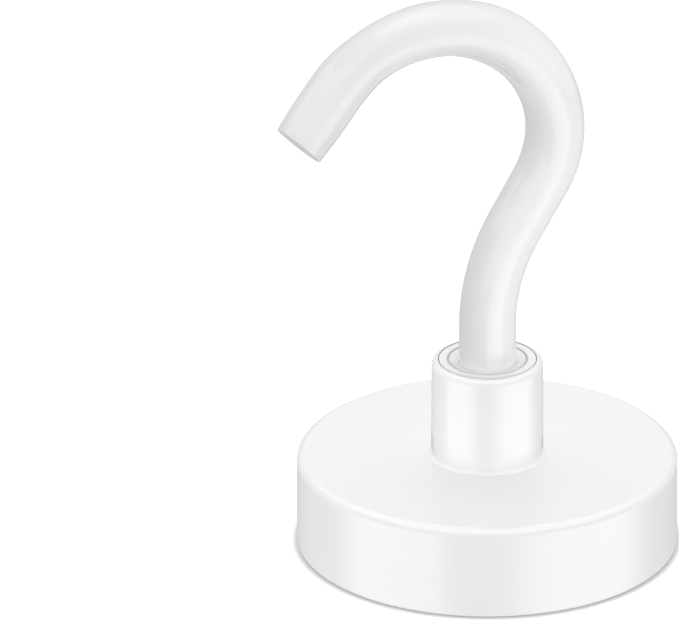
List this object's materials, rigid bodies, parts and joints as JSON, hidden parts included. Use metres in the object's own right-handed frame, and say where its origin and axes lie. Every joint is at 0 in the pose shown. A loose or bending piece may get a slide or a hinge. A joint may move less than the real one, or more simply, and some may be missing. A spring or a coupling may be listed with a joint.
{
  "type": "magnetic hook",
  "caption": "Round pot magnet with a short threaded collar on its back and a white bent-wire hook, open on one side, that screws into the collar and turns to any direction.",
  "frame": {"origin": "centre of the magnetic face, on the pot's axis, in the plane of the pole ring that lies against the steel", "axes": "+Z out of the magnetic face's back, along the collar and the hook's shank; the hook lies in the XZ plane and its mouth opens towards -X"},
  "size_m": [0.0348, 0.032, 0.0499],
  "materials": {
    "white_paint": "smooth glossy white powder coat on steel",
    "satin_nickel": "fine satin nickel plating",
    "black_resin": "cured black epoxy"
  },
  "bodies": {
    "pot_assembly": {"pot_cup": "white_paint", "collar": "white_paint", "magnet_disc": "satin_nickel", "epoxy_bond": "black_resin"},
    "hook": {"hook": "white_paint"}
  },
  "joints": [
    {"name": "hook_turn", "type": "hinge", "parent": "pot_assembly", "child": "hook", "pos_m": [0, 0, 0.0166], "axis": [0, 0, 1], "range_deg": [-180, 180]}
  ]
}
